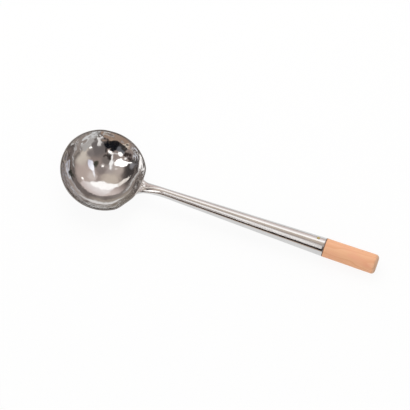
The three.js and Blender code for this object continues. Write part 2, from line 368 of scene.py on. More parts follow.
def ground_and_painted_dark_lip(steel):
    """Dulls the lip, which is ground after the bowl is polished, and darkens its colour with painted shade,
    but not where the weld meets it.
    """
    tree = steel.node_tree
    base_colour = tree.nodes["Principled BSDF"].inputs["Base Color"]
    roughness = tree.nodes["Principled BSDF"].inputs["Roughness"]
    part = split(tree, own_axes(tree, ladle_place))
    near_lip = eased(tree, part[2], LIP_GROUND_AND_SHADE_FROM, LIP_GROUND_AND_SHADE_FULL)
    turn = reckon(tree, "ARCTAN2", part[1], part[0])
    from_weld = reckon(tree, "ABSOLUTE", reckon(tree, "SUBTRACT", turn, LIP_WELD_TURN))
    off_weld = eased(tree, from_weld, LIP_WELD_HALF, LIP_WELD_FADED)
    share = reckon(tree, "MULTIPLY", near_lip, off_weld)
    # painted shade: the lip's colour is darkened to a dark outline round the rim; its roughness is the real
    # grinding
    tone = mixed_colour(tree, share, base_colour.links[0].from_socket, PAINTED_DARK_LIP_TINT)
    rough = put(tree, "ShaderNodeMix", {
        "Factor": share, 2: roughness.links[0].from_socket, 3: LIP_ROUGHNESS})
    tree.links.new(tone, base_colour)
    tree.links.new(rough.outputs[0], roughness)


bowl_steel = mirror_steel("bowl_steel", ladle_place, streaks_round_bowl, BOWL_BRIGHT, BOWL_DULL)
ground_and_painted_dark_lip(bowl_steel)


def plain_mesh(piece):
    """Turns a piece's modifiers into its own mesh and takes them off."""
    graph = bpy.context.evaluated_depsgraph_get()
    mesh = bpy.data.meshes.new_from_object(piece.evaluated_get(graph), depsgraph=graph)
    piece.modifiers.clear()
    piece.data = mesh


def new_piece(name, mesh):
    """An object with that mesh, put into the scene."""
    made = bpy.data.objects.new(name, mesh)
    bpy.context.scene.collection.objects.link(made)
    return made


bowl = new_piece("polished_bowl", bpy.data.meshes.new("polished_bowl"))
pressing = bowl.modifiers.new("pressed", "NODES")
pressing.node_group = pressed_bowl_tree()
bowl_sizes = {
    "Sphere Radius": sphere_radius, "Sphere Height": sphere_height, "Wall": BOWL_WALL,
    "Lip Angle": lip_angle, "Turn Steps": BOWL_TURN_STEPS, "Wall Steps": BOWL_WALL_STEPS,
    "Lip Steps": BOWL_LIP_STEPS, "Wave Height": HAMMER_WAVE_HEIGHT, "Waves": HAMMER_WAVES_PER_RADIUS,
    "Lip Wave Height": LIP_WAVE_HEIGHT, "Lip Waves": LIP_WAVES_PER_RADIUS, "Seed": HAMMER_SEED,
    "Finish": bowl_steel,
}
for socket in pressing.node_group.interface.items_tree:
    if socket.in_out == "INPUT":
        pressing[socket.identifier] = bowl_sizes[socket.name]
plain_mesh(bowl)


def within(share):
    """A share held between 0 and 1."""
    return min(1, max(0, share))


def smooth(share):
    """A share held between 0 and 1, with soft ends."""
    held = within(share)
    return held * held * (3 - 2 * held)


def drawn_in(point):
    """How far a point of the wall, in the bowl's own axes, is pulled in: most at the lip by the handle."""
    off_middle = abs(math.atan2(point.y, point.x) - DRAW_IN_MIDDLE)
    across = smooth((DRAW_IN_REACH - off_middle) / DRAW_IN_SOFT)
    return LIP_DRAW_IN * across * smooth(1 + point.z / DRAW_IN_DROP)


def flared(point):
    """How far a point of the wall, in the bowl's own axes, is spread: most at the lip on the far side."""
    turn = math.degrees(math.atan2(point.y, point.x))
    raised = max(0, 1 + point.z / FLARE_DROP) ** 2
    sunk = smooth((point.z + SINK_DROP) / (SINK_DROP - FLARE_DROP))
    return sum(
        smooth((reach - abs(turn - middle)) / soft) * (spread * raised - sink * sunk)
        for middle, reach, soft, spread, sink in LIP_FLARES)


for corner in bowl.data.vertices:
    outwards = Vector((corner.co.x, corner.co.y, 0)).normalized()
    corner.co += (flared(corner.co) - drawn_in(corner.co)) * outwards
bowl.data.update()
bowl.data.transform(ladle_place)
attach(bowl, "root")
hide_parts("bowl")

# Shank: a tapering socket rolled from 1.2 mm stainless sheet over a mandrel, which left faint long waves. Its
# edges meet in a seam underneath, and a hole near the mouth takes the nail. The narrow end is flattened and
# bent down into a foot that lies against the bowl under its lip.

SHANK_LENGTH = 0.263
SHANK_WALL = 0.0012
MOUTH_RADIUS = 0.0131
NECK_RADIUS = 0.0067
NECK_LENGTH = 0.032
FOOT_WIDTH = 0.0174
FOOT_THICKNESS = 0.0076
FOOT_BELOW_LIP = 0.0017
FOOT_CLEARANCE = 0.00002
BORE_FROM_BOWL = 0.006
SEAM_WIDTH = 0.0003
SEAM_DEPTH = 0.0003
SEAM_FADE = 4
SEAM_CROWDING = 0.85
SHANK_SIDES = 176
NECK_STEPS = 60
CONE_STEPS = 110
MOUTH_STEPS = 8
RING_MERGE = 0.000001
MANDREL_WAVE = 0.00004
MANDREL_WAVES_ALONG = 45
MANDREL_WAVES_ROUND = 1.3
SHANK_STREAKS = (14.0, 1400.0, 1400.0)
SHANK_BRIGHT = 0.09
SHANK_DULL = 0.17
JOINT_GAP = 0.0003
NAIL_RADIUS = 0.001
NAIL_LENGTH = 0.013
NAIL_FROM_MOUTH = 0.011
NAIL_TURN = math.radians(24)
NAIL_SIDES = 32
HOLE_PROUD = 0.003
HOLE_SPARE = 0.004
HOLE_EDGE_ANGLE = math.radians(42)

handle_in_bowl = Matrix.Translation((0, 0, -SHANK_BELOW_LIP)) @ Matrix.Rotation(-SHANK_RISE, 4, "Y")
handle_place = ladle_place @ handle_in_bowl
waist = BOWL_RADIUS + NECK_LENGTH
mouth = BOWL_RADIUS + SHANK_LENGTH
foot_drop = SHANK_BELOW_LIP - FOOT_BELOW_LIP - BOWL_RADIUS * math.sin(SHANK_RISE)
foot_offset = foot_drop / math.cos(SHANK_RISE) - FOOT_THICKNESS / 2
sphere_in_handle = (sphere_height + SHANK_BELOW_LIP) * Vector(
    (math.sin(SHANK_RISE), 0, math.cos(SHANK_RISE)))
nail_station = mouth - NAIL_FROM_MOUTH
nail_place = (
    handle_place
    @ Matrix.Translation((nail_station, 0, 0))
    @ Matrix.Rotation(-NAIL_TURN, 4, "X")
)


def mix(first, second, share):
    """A value part of the way from the first to the second."""
    return first + (second - first) * share


def cone_radius(x):
    """The socket's outer radius at a station along the handle."""
    return NECK_RADIUS + (MOUTH_RADIUS - NECK_RADIUS) * max(0, x - waist) / (mouth - waist)


def skin_point(x, turn, grow):
    """A point on the shank's skin, with the skin moved outwards by grow."""
    flattened = within((waist - x) / NECK_LENGTH) ** 2
    half_width = mix(cone_radius(x), FOOT_WIDTH / 2, flattened) + grow
    half_height = mix(cone_radius(x), FOOT_THICKNESS / 2, flattened) + grow
    return Vector((
        x, half_width * math.cos(turn), flattened * foot_offset + half_height * math.sin(turn)))


def wall_station(y, z, clear):
    """How far along the handle the bowl's wall lies behind a point of the foot."""
    ball = sphere_radius + clear
    x = sphere_in_handle.x + math.sqrt(ball**2 - y**2 - (z - sphere_in_handle.z) ** 2)
    return x - drawn_in(handle_in_bowl @ Vector((x, y, z)))


def seam_turns():
    """Turns round the shank from its underside, closer together near the seam."""
    for side in range(SHANK_SIDES):
        share = side / SHANK_SIDES
        crowded = share - SEAM_CROWDING * math.sin(math.tau * share) / math.tau
        yield math.tau * crowded - math.pi / 2


def outer_skin(share, turn):
    """A point of the outside, from the foot (share 0) over the waist (share 1) to the mouth (share 2)."""
    foot = skin_point(BOWL_RADIUS, turn, 0)
    start = wall_station(foot.y, foot.z, FOOT_CLEARANCE)
    straight_end = mouth - SHANK_WALL / 2
    x = mix(start, waist, share) if share < 1 else mix(waist, straight_end, share - 1)
    off_seam = math.remainder(turn + math.pi / 2, math.tau) * cone_radius(x)
    seam = SEAM_DEPTH * math.exp(-((off_seam / SEAM_WIDTH) ** 2)) * within(SEAM_FADE * (share - 1))
    wave = MANDREL_WAVE * noise.noise(Vector((
        MANDREL_WAVES_ALONG * x, MANDREL_WAVES_ROUND * math.cos(turn), MANDREL_WAVES_ROUND * math.sin(turn))))
    return skin_point(x, turn, wave - seam)


def mouth_round(angle, turn):
    """A point of the mouth's rounded edge, from the outside (0) over the end (90) to the bore (180)."""
    half = SHANK_WALL / 2
    x = mouth - half + half * math.sin(angle)
    return skin_point(mouth - half, turn, half * math.cos(angle) - half) + Vector((x - mouth + half, 0, 0))


def merged(mesh, distance):
    """Joins the points of a mesh that lie on one another, as at a pole."""
    shell = bmesh.new()
    shell.from_mesh(mesh)
    bmesh.ops.remove_doubles(shell, verts=shell.verts, dist=distance)
    shell.to_mesh(mesh)
    shell.free()


def ring_skin(name, rings, closed):
    """A mesh over rings of points, each joined to the next, and the last to the first where closed."""
    count = len(rings[0])
    points = [point for ring in rings for point in ring]
    faces = []
    for row in range(len(rings) if closed else len(rings) - 1):
        low = row * count
        high = (row + 1) % len(rings) * count
        for side in range(count):
            after = (side + 1) % count
            faces.append((low + side, low + after, high + after, high + side))
    mesh = bpy.data.meshes.new(name)
    mesh.from_pydata(points, [], faces)
    return mesh


def handle_mesh(name, rings, closed):
    """A smooth skin over rings that turn from +Y to +Z and follow one another along the handle."""
    mesh = ring_skin(name, rings, closed)
    if not closed:
        merged(mesh, RING_MERGE)
    mesh.transform(handle_place)
    mesh.shade_smooth()
    return mesh


def shank_rings():
    """Rings from the foot along the outside, round the mouth's edge and back down the bore."""
    turns = list(seam_turns())
    neck = [step / NECK_STEPS for step in range(NECK_STEPS)]
    cone = [1 + step / CONE_STEPS for step in range(CONE_STEPS + 1)]
    outside = [[outer_skin(share, turn) for turn in turns] for share in neck + cone]
    edge = [
        [mouth_round(math.pi * step / MOUTH_STEPS, turn) for turn in turns]
        for step in range(1, MOUTH_STEPS + 1)]
    bore_start = mouth - SHANK_WALL
    bore_end = BOWL_RADIUS + BORE_FROM_BOWL
    stations = [mix(bore_start, bore_end, step / NECK_STEPS) for step in range(1, NECK_STEPS)]
    bore = [[skin_point(x, turn, -SHANK_WALL) for turn in turns] for x in stations]
    root = [[ring_point.lerp(bore_point, 0.5) for ring_point, bore_point in zip(outside[0], bore[-1])]]
    return outside + edge + bore + root


def stretched(tree, axes, scale):
    """A piece's own axes at another scale, as a socket."""
    return put(tree, "ShaderNodeMapping", {"Vector": axes, "Scale": scale}).outputs[0]


def streaks_along_handle(tree, axes):
    """Streaks that run along the handle: long in X and tight round it."""
    return stretched(tree, axes, SHANK_STREAKS)


def drilled(piece):
    """Cuts the nail's hole into a piece, with a sharp edge."""
    depth = NAIL_LENGTH + HOLE_SPARE
    drill = bmesh.new()
    bmesh.ops.create_cone(
        drill, cap_ends=True, segments=NAIL_SIDES, depth=depth,
        radius1=NAIL_RADIUS + JOINT_GAP, radius2=NAIL_RADIUS + JOINT_GAP,
        matrix=nail_place @ Matrix.Translation((0, 0, cone_radius(nail_station) - depth / 2 + HOLE_PROUD)))
    mesh = bpy.data.meshes.new("drill")
    drill.to_mesh(mesh)
    drill.free()
    cutter = new_piece("drill", mesh)
    hole = piece.modifiers.new("hole", "BOOLEAN")
    hole.operation = "DIFFERENCE"
    hole.solver = "EXACT"
    hole.object = cutter
    plain_mesh(piece)
    bpy.data.objects.remove(cutter)
    piece.data.set_sharp_from_angle(angle=HOLE_EDGE_ANGLE)


shank = new_piece("polished_shank", handle_mesh("polished_shank", shank_rings(), True))
shank.data.materials.append(
    mirror_steel("shank_steel", handle_place, streaks_along_handle, SHANK_BRIGHT, SHANK_DULL))
drilled(shank)
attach(shank, "root")
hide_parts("shank")

# Neck weld: a bead laid all round the foot and ground to a hollow fillet, then polished over.
# It is thin under the lip, so that the lip stays clean, and fullest below and on the near side.

WELD_LENGTH = 0.010
WELD_BELOW = 0.0044
WELD_TOP = 0.001
WELD_NEAR_SIDE = 0.005
WELD_FAR_SIDE = 0.0014
WELD_HOLLOW = 1.6
WELD_STEPS = 18
WELD_SINK = 0.0006
WELD_BRIGHT = 0.13
WELD_DULL = 0.24
GRIND_WAVE = 0.00005
GRIND_MARKS = 26
GRIND_DRIFT = 3


def weld_section(turn):
    """The bead's outline at one turn: hollow face from wall to neck, then back inside the metal."""
    side = WELD_FAR_SIDE if math.cos(turn) > 0 else WELD_NEAR_SIDE
    leg = mix(WELD_BELOW, WELD_TOP, (1 + math.sin(turn)) / 2) + side * math.cos(turn) ** 2
    leg += GRIND_WAVE * math.sin(GRIND_MARKS * turn + GRIND_DRIFT * math.sin(2 * turn))
    root = skin_point(BOWL_RADIUS, turn, leg)
    root_x = wall_station(root.y, root.z, 0)
    foot = skin_point(BOWL_RADIUS, turn, 0)
    toe_x = wall_station(foot.y, foot.z, 0) + WELD_LENGTH
    shares = [step / WELD_STEPS for step in range(WELD_STEPS + 1)]
    face = [skin_point(mix(root_x, toe_x, s), turn, leg * (1 - s) ** WELD_HOLLOW) for s in shares]
    deep_x = root_x - WELD_SINK
    inside = [
        skin_point(toe_x, turn, -WELD_SINK),
        skin_point(mix(deep_x, toe_x, 0.5), turn, -WELD_SINK),
        skin_point(deep_x, turn, -WELD_SINK),
        skin_point(deep_x, turn, leg),
    ]
    return face + inside


weld_sections = [weld_section(turn) for turn in seam_turns()]
weld_rings = [list(ring) for ring in zip(*weld_sections)]
neck_weld = new_piece("ground_neck_weld", handle_mesh("ground_neck_weld", weld_rings, True))
neck_weld.data.materials.append(
    mirror_steel("weld_steel", handle_place, streaks_along_handle, WELD_BRIGHT, WELD_DULL))
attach(neck_weld, "root")
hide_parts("neck_weld")

# Grip: a turned stick of pale, close-grained hardwood, sanded and left bare. Its tapered tenon is driven
# into the socket, and its shoulder, eased with sandpaper, comes up against the mouth.

GRIP_LENGTH = 0.076
GRIP_RADIUS = 0.0137
GRIP_ROUNDING = 0.005
SHOULDER_EASING = 0.0006
TENON_LENGTH = 0.056
TENON_CHAMFER = 0.0015
GRIP_SIDES = 128
GRIP_STEPS = 70
TENON_STEPS = 12
EASING_STEPS = 6
ROUNDING_STEPS = 12
END_STEPS = 4
SANDING_WAVE = 0.00009
SANDING_WAVES_ALONG = 38
SANDING_WAVES_ROUND = 1.6
SANDING_SEED = 7
SANDED_FROM_MOUTH = 0.004
SANDED_FADE = 0.01
WOOD_TONES = (
    (0.22, (0.89, 0.495, 0.285)),
    (0.48, (0.855, 0.445, 0.25)),
    (0.86, (0.79, 0.375, 0.19)),
)
END_GRAIN_AND_SHADE_TONES = ((0.3, (0.62, 0.42, 0.29)), (0.75, (0.40, 0.25, 0.16)))
WOOD_PINK = (0.86, 0.39, 0.25)
PAINTED_JOINT_SHADE = (0.16, 0.075, 0.035)
# parts of a year's ring, and how dark the wood is there
YEAR_SHADES = ((0.0, 0.0), (0.55, 0.35), (0.88, 1.0), (1.0, 0.0))
# the tree's pith, beside and below the stick's line, and leaning to it
PITH_ASIDE = 0.021
PITH_BELOW = 0.026
PITH_LEAN = 0.03
RINGS_PER_METRE = 420.0
RING_SHARE = 0.40
RING_BEND = 0.0075
RING_BEND_SCALE = (14.0, 45.0, 45.0)
RING_BEND_DETAIL = 2.0
PORE_SCALE = (60.0, 1500.0, 1500.0)
PORE_DETAIL = 3.0
PORE_GRIT = 0.65
PORE_SHARE = 0.60
PORES_CLOSED = 0.3
PORES_OPEN = 0.7
FLUSH_SCALE = (32.0, 75.0, 75.0)
FLUSH_DETAIL = 2.0
FLUSH_FROM = 0.52
FLUSH_FULL = 0.72
FLUSH_MOST = 0.55
END_GRAIN_AND_SHADE_FROM = 0.006
END_GRAIN_AND_SHADE_FULL = 0.0005
JOINT_SHADE_FULL = 0.0004
JOINT_SHADE_END = 0.0016
END_AND_JOINT_DARKENING = 0.85
WOOD_SLEEK = 0.48
WOOD_ROUGH = 0.66
WOOD_SHINE = 0.3
GRAIN_BUMP = 0.35
GRAIN_DEPTH = 0.00012


def tenon_radius(x):
    """The tenon's radius at a station: the socket's bore less the gap."""
    return cone_radius(x) - SHANK_WALL - JOINT_GAP


def grip_profile():
    """(station, radius) points from the tenon's end to the middle of the rounded end."""
    start = mouth - TENON_LENGTH
    shoulder = mouth + JOINT_GAP
    end = mouth + GRIP_LENGTH
    yield start, 0
    yield start, tenon_radius(start) - TENON_CHAMFER
    for step in range(TENON_STEPS + 1):
        x = mix(start + TENON_CHAMFER, mouth, step / TENON_STEPS)
        yield x, tenon_radius(x)
    yield shoulder, tenon_radius(mouth)
    for step in range(EASING_STEPS + 1):
        angle = math.pi / 2 * step / EASING_STEPS
        yield (shoulder + SHOULDER_EASING * (1 - math.sin(angle)),
               MOUTH_RADIUS - SHOULDER_EASING * (1 - math.cos(math.pi / 2 - angle)))
    rounding_start = end - GRIP_ROUNDING
    for step in range(1, GRIP_STEPS):
        share = step / GRIP_STEPS
        yield (mix(shoulder + SHOULDER_EASING, rounding_start, share),
               mix(MOUTH_RADIUS, GRIP_RADIUS, share))
    for step in range(ROUNDING_STEPS + 1):
        angle = math.pi / 2 * step / ROUNDING_STEPS
        yield (rounding_start + GRIP_ROUNDING * math.sin(angle),
               GRIP_RADIUS - GRIP_ROUNDING * (1 - math.cos(angle)))
    for step in range(END_STEPS - 1, -1, -1):
        yield end, (GRIP_RADIUS - GRIP_ROUNDING) * step / END_STEPS


def grip_ring(x, radius):
    """One ring of the grip, a little uneven from sanding where the hand holds it."""
    turns = [math.tau * side / GRIP_SIDES for side in range(GRIP_SIDES)]
    sanded = within((x - mouth - SANDED_FROM_MOUTH) / SANDED_FADE) * min(1, radius / GRIP_RADIUS)
    ring = []
    for turn in turns:
        bump = noise.noise(Vector((
            SANDING_WAVES_ALONG * x, SANDING_WAVES_ROUND * math.cos(turn),
            SANDING_WAVES_ROUND * math.sin(turn) + SANDING_SEED)))
        reach = radius - sanded * SANDING_WAVE * (1 + bump)
        ring.append(Vector((x, reach * math.cos(turn), reach * math.sin(turn))))
    return ring


def growth_rings(tree, axes):
    """Each year's ring about the pith, from pale early wood to dark late wood, as a socket."""
    part = split(tree, axes)
    aside = reckon(tree, "SUBTRACT", part[1], PITH_ASIDE)
    below = reckon(tree, "MULTIPLY_ADD", part[0], PITH_LEAN, reckon(tree, "ADD", part[2], PITH_BELOW))
    square = reckon(tree, "ADD", reckon(tree, "MULTIPLY", aside, aside),
                    reckon(tree, "MULTIPLY", below, below))
    bend = mottle(tree, stretched(tree, axes, RING_BEND_SCALE), 1.0, RING_BEND_DETAIL)
    from_pith = reckon(tree, "MULTIPLY_ADD", bend, RING_BEND, reckon(tree, "SQRT", square))
    year = reckon(tree, "FRACT", reckon(tree, "MULTIPLY", from_pith, RINGS_PER_METRE))
    return colour_steps(tree, year, *((place, (dark, dark, dark)) for place, dark in YEAR_SHADES))


def grip_wood():
    """Pale hardwood: growth rings about a pith beside the stick, pores along it, pink flushes, darker end
    grain with painted shade over the end, and painted shade in the joint by the mouth.
    """
    made, tree, shader = new_material("grip_wood")
    axes = own_axes(tree, handle_place)
    station = split(tree, axes)[0]
    grip_end = mouth + GRIP_LENGTH
    pores = mottle(tree, stretched(tree, axes, PORE_SCALE), 1.0, PORE_DETAIL, Roughness=PORE_GRIT)
    flush = mottle(tree, stretched(tree, axes, FLUSH_SCALE), 1.0, FLUSH_DETAIL)
    grain = reckon(tree, "MULTIPLY_ADD", growth_rings(tree, axes), RING_SHARE,
                   reckon(tree, "MULTIPLY", pores, PORE_SHARE))
    tone = colour_steps(tree, grain, *WOOD_TONES)
    pink = ranged(tree, flush, FLUSH_FROM, FLUSH_FULL, 0.0, FLUSH_MOST)
    flushed = mixed_colour(tree, pink, tone, WOOD_PINK)
    # the end is darker: its end grain, and painted shade over the end face and its rounding
    near_end = eased(tree, station, grip_end - END_GRAIN_AND_SHADE_FROM, grip_end - END_GRAIN_AND_SHADE_FULL, 0.0, END_AND_JOINT_DARKENING)
    end_grain_and_shaded = mixed_colour(tree, near_end, flushed, colour_steps(tree, grain, *END_GRAIN_AND_SHADE_TONES))
    # painted shade in the joint: the wood is darkened next to the socket's mouth, where the gap lies in shade
    near_mouth = eased(tree, station, mouth + JOINT_SHADE_FULL, mouth + JOINT_SHADE_END, END_AND_JOINT_DARKENING, 0.0)
    joint_shaded = mixed_colour(tree, near_mouth, end_grain_and_shaded, PAINTED_JOINT_SHADE)
    tree.links.new(joint_shaded, shader.inputs["Base Color"])
    rough = ranged(tree, pores, PORES_CLOSED, PORES_OPEN, WOOD_SLEEK, WOOD_ROUGH)
    tree.links.new(rough, shader.inputs["Roughness"])
    bump = put(tree, "ShaderNodeBump", {"Height": grain, "Strength": GRAIN_BUMP, "Distance": GRAIN_DEPTH})
    tree.links.new(bump.outputs[0], shader.inputs["Normal"])
    shader.inputs["Specular IOR Level"].default_value = WOOD_SHINE
    return made


grip_rings = [grip_ring(x, radius) for x, radius in grip_profile()]
grip = new_piece("turned_grip", handle_mesh("turned_grip", grip_rings, False))
grip.data.materials.append(grip_wood())
drilled(grip)
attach(grip, "root")
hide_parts("wooden_grip")

# Nail: a small domed brass nail driven through a drilled hole in the socket into the tenon.
# It keeps the grip from working loose, and its head has been flattened a little by the hammer.

NAIL_POINT = 0.0025
NAIL_HEAD_RADIUS = 0.0022
NAIL_HEAD_HEIGHT = 0.001
NAIL_HEAD_EDGE = 0.00015
NAIL_HEAD_FLATNESS = 0.8
NAIL_HEAD_STEPS = 10
NAIL_NECK = 0.0002
NAIL_BITE = 0.00012
NAIL_MERGE = 0.000002
NAIL_EDGE_ANGLE = math.radians(50)
NAIL_DENT = 0.00006
NAIL_DENT_SCALE = 900
NAIL_DENT_SEED = 3
TARNISH_SCALE = 900.0
TARNISH_DETAIL = 3.0
TARNISH_DARK = 0.35
TARNISH_RUBBED = 0.65
BRASS_DULL = (0.30, 0.25, 0.09)
BRASS_RUBBED = (0.72, 0.62, 0.27)
BRASS_ROUGH = 0.5
BRASS_SLEEK = 0.28
TARNISH_BUMP = 0.2
TARNISH_DEPTH = 0.00005

nail_seat = cone_radius(nail_station) - NAIL_BITE


def nail_profile():
    """(radius, height) points from the nail's point to the top of its head."""
    tip = nail_seat - NAIL_LENGTH
    yield 0, tip
    yield NAIL_RADIUS, tip + NAIL_POINT
    yield NAIL_RADIUS, nail_seat - NAIL_NECK
    yield NAIL_RADIUS + NAIL_NECK, nail_seat
    yield NAIL_HEAD_RADIUS - NAIL_HEAD_EDGE, nail_seat
    dome = NAIL_HEAD_HEIGHT - NAIL_HEAD_EDGE
    for step in range(NAIL_HEAD_STEPS + 1):
        angle = math.pi / 2 * step / NAIL_HEAD_STEPS
        yield (NAIL_HEAD_RADIUS * math.cos(angle),
               nail_seat + NAIL_HEAD_EDGE + dome * math.sin(angle) ** NAIL_HEAD_FLATNESS)


def nail_ring(radius, height):
    """One ring of the nail, dented by the hammer where it is on the head."""
    ring = []
    for side in range(NAIL_SIDES):
        turn = math.tau * side / NAIL_SIDES
        x = radius * math.cos(turn)
        y = radius * math.sin(turn)
        dent = NAIL_DENT * noise.noise(Vector((NAIL_DENT_SCALE * x, NAIL_DENT_SCALE * y, NAIL_DENT_SEED)))
        on_head = radius < NAIL_HEAD_RADIUS and height > nail_seat
        ring.append((x, y, height + dent if on_head else height))
    return ring


def nail_brass():
    """Brass dulled by handling, with bright rubs on the high spots."""
    made, tree, shader = new_material("nail_brass")
    where = put(tree, "ShaderNodeTexCoord").outputs["Object"]
    tarnish = mottle(tree, where, TARNISH_SCALE, TARNISH_DETAIL)
    tone = colour_steps(tree, tarnish, (TARNISH_DARK, BRASS_DULL), (TARNISH_RUBBED, BRASS_RUBBED))
    rough = ranged(tree, tarnish, TARNISH_DARK, TARNISH_RUBBED, BRASS_ROUGH, BRASS_SLEEK)
    bump = put(tree, "ShaderNodeBump", {
        "Height": tarnish, "Strength": TARNISH_BUMP, "Distance": TARNISH_DEPTH})
    shader.inputs["Metallic"].default_value = 1.0
    tree.links.new(tone, shader.inputs["Base Color"])
    tree.links.new(rough, shader.inputs["Roughness"])
    tree.links.new(bump.outputs[0], shader.inputs["Normal"])
    return made


nail_rings = [nail_ring(radius, height) for radius, height in nail_profile()]
nail_mesh = ring_skin("brass_nail", nail_rings, False)
merged(nail_mesh, NAIL_MERGE)
nail_mesh.transform(nail_place)
nail_mesh.shade_smooth()
nail_mesh.set_sharp_from_angle(angle=NAIL_EDGE_ANGLE)
nail = new_piece("brass_nail", nail_mesh)
nail.data.materials.append(nail_brass())
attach(nail, "root")
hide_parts("grip_nail")

# Floor: a plain white table that the ladle lies on. It keeps the ladle's soft shadow, and looks white
# to the camera and in the steel.

FLOOR_HALF = 6.0
FLOOR_WHITE = 0.95
FLOOR_GLOW_SHARE = 0.9


def seen_directly(tree):
    """1 for rays from the camera, and for rays that the steel sends back; 0 for soft light."""
    path = put(tree, "ShaderNodeLightPath").outputs
    mirrored = reckon(tree, "MAXIMUM", path["Is Glossy Ray"], path["Is Transmission Ray"])
    return reckon(tree, "MAXIMUM", path["Is Camera Ray"], mirrored)


floor_white = bpy.data.materials.new("floor_white")
floor_white.use_nodes = True
floor_tree = floor_white.node_tree
floor_tree.nodes.clear()
paint = put(floor_tree, "ShaderNodeBsdfDiffuse", {"Color": (FLOOR_WHITE, FLOOR_WHITE, FLOOR_WHITE, 1)})
glow = put(floor_tree, "ShaderNodeEmission", {"Strength": 1.0})
glow_share = reckon(floor_tree, "MULTIPLY", seen_directly(floor_tree), FLOOR_GLOW_SHARE)
floor_mix = put(floor_tree, "ShaderNodeMixShader", {
    0: glow_share, 1: paint.outputs[0], 2: glow.outputs[0]})
put(floor_tree, "ShaderNodeOutputMaterial", {"Surface": floor_mix.outputs[0]})

floor_mesh = bpy.data.meshes.new("floor")
floor_mesh.from_pydata(
    [(-FLOOR_HALF, -FLOOR_HALF, 0), (FLOOR_HALF, -FLOOR_HALF, 0),
     (FLOOR_HALF, FLOOR_HALF, 0), (-FLOOR_HALF, FLOOR_HALF, 0)], [], [(0, 1, 2, 3)])
floor_mesh.materials.append(floor_white)
floor = new_piece("floor", floor_mesh)

# Studio: a wide grey tent round the table with softboxes, reflectors, strips, dark flags and small lamps in
# it. Only the steel sees them. Each is given by the azimuth and elevation of its corners from the bowl, with
# azimuth 0 towards the grip and 90 away from the camera.

STUDIO_LEVEL = 1.1
TENT_REACH = 8.0
TENT_SIDES = 48
TENT_STEPS = 24
FAR_FLAG_REACH = 7.9
HANDLE_SOFTBOX_REACH = 7.6
CARD_REACH = 2.4
STRIP_REACH = 2.35
FLAG_REACH = 2.3
FRONT_FLAG_REACH = 2.2
LAMP_REACH = 2.16
LAMP_WARMTH = (1.0, 0.97, 0.93)
TENT_GREY = (0.385, 0.31, 0.28)
TENT_PATCHES = (
    # azimuth, elevation, inner and outer radius in degrees, colour
    (135, 70, 4, 30, (0.72, 0.62, 0.53)),
    (250, 76, 4, 20, (0.50, 0.43, 0.40)),
    (310, 20, 8, 36, (0.20, 0.175, 0.17)),
    (288, 57, 8, 20, (0.24, 0.205, 0.19)),
    (30, 35, 14, 30, (0.62, 0.51, 0.46)),
    (352, 12, 2, 30, (0.80, 0.71, 0.62)),
    (190, 20, 16, 42, (0.07, 0.06, 0.058)),
    (208, 60, 4, 17, (0.60, 0.51, 0.46)),
    (100, 20, 20, 50, (0.80, 0.68, 0.64)),
    (0, -90, 89, 101, (0.17, 0.145, 0.13)),
    (335, 24, 3, 13, (0.28, 0.24, 0.23)),
    (350, 75, 5, 16, (0.30, 0.25, 0.235)),
    (204, 24, 3, 9, (0.30, 0.285, 0.30)),
    (42, 53, 5, 15, (0.78, 0.68, 0.63)),
)


def towards(azimuth, elevation, reach):
    """The point that lies so far from the bowl's lip in that direction."""
    turn = math.radians(azimuth)
    lift = math.radians(elevation)
    level = math.cos(lift)
    return lip_centre + reach * Vector((level * math.cos(turn), level * math.sin(turn), math.sin(lift)))


def glowing(name):
    """A material that only gives out light, and its tree and light."""
    made = bpy.data.materials.new(name)
    made.use_nodes = True
    tree = made.node_tree
    tree.nodes.clear()
    light = put(tree, "ShaderNodeEmission", {"Strength": STUDIO_LEVEL})
    put(tree, "ShaderNodeOutputMaterial", {"Surface": light.outputs[0]})
    return made, tree, light


def card_glow(name, colour, foot_colour, foot, top):
    """A card's light, which goes from one colour at its foot to another at its top."""
    made, tree, light = glowing(name)
    height = split(tree, put(tree, "ShaderNodeTexCoord").outputs["Object"])[2]
    tone = mixed_colour(tree, eased(tree, height, foot, top), foot_colour, colour)
    tree.links.new(tone, light.inputs["Color"])
    return made


def tent_glow():
    """The tent's light: a warm grey with soft lighter and darker patches."""
    made, tree, light = glowing("tent")
    place = put(tree, "ShaderNodeTexCoord").outputs["Object"]
    facing = reckon_line(tree, "NORMALIZE", reckon_line(tree, "SUBTRACT", place, lip_centre))
    shade = TENT_GREY
    for azimuth, elevation, inner, outer, colour in TENT_PATCHES:
        aim = (towards(azimuth, elevation, 1) - lip_centre).normalized()
        nearness = reckon_line(tree, "DOT_PRODUCT", facing, aim)
        share = eased(tree, nearness, math.cos(math.radians(outer)), math.cos(math.radians(inner)))
        shade = mixed_colour(tree, share, shade, colour)
    tree.links.new(shade, light.inputs["Color"])
    return made


def seen_in_steel(name, mesh, shine):
    """A stage piece that shows only as a reflection."""
    mesh.materials.append(shine)
    made = new_piece(name, mesh)
    made.visible_camera = False
    made.visible_diffuse = False
    made.visible_transmission = False
    made.visible_volume_scatter = False
    made.visible_shadow = False


def card(name, colour, *corners, reach=CARD_REACH, foot_colour=None):
    """A flat card in the tent, as an outline of corners that are all as far from the bowl."""
    points = [towards(*corner, reach) for corner in corners]
    heights = [point.z for point in points]
    mesh = bpy.data.meshes.new(name)
    mesh.from_pydata(points, [], [tuple(range(len(points)))])
    seen_in_steel(name, mesh, card_glow(name, colour, foot_colour or colour, min(heights), max(heights)))


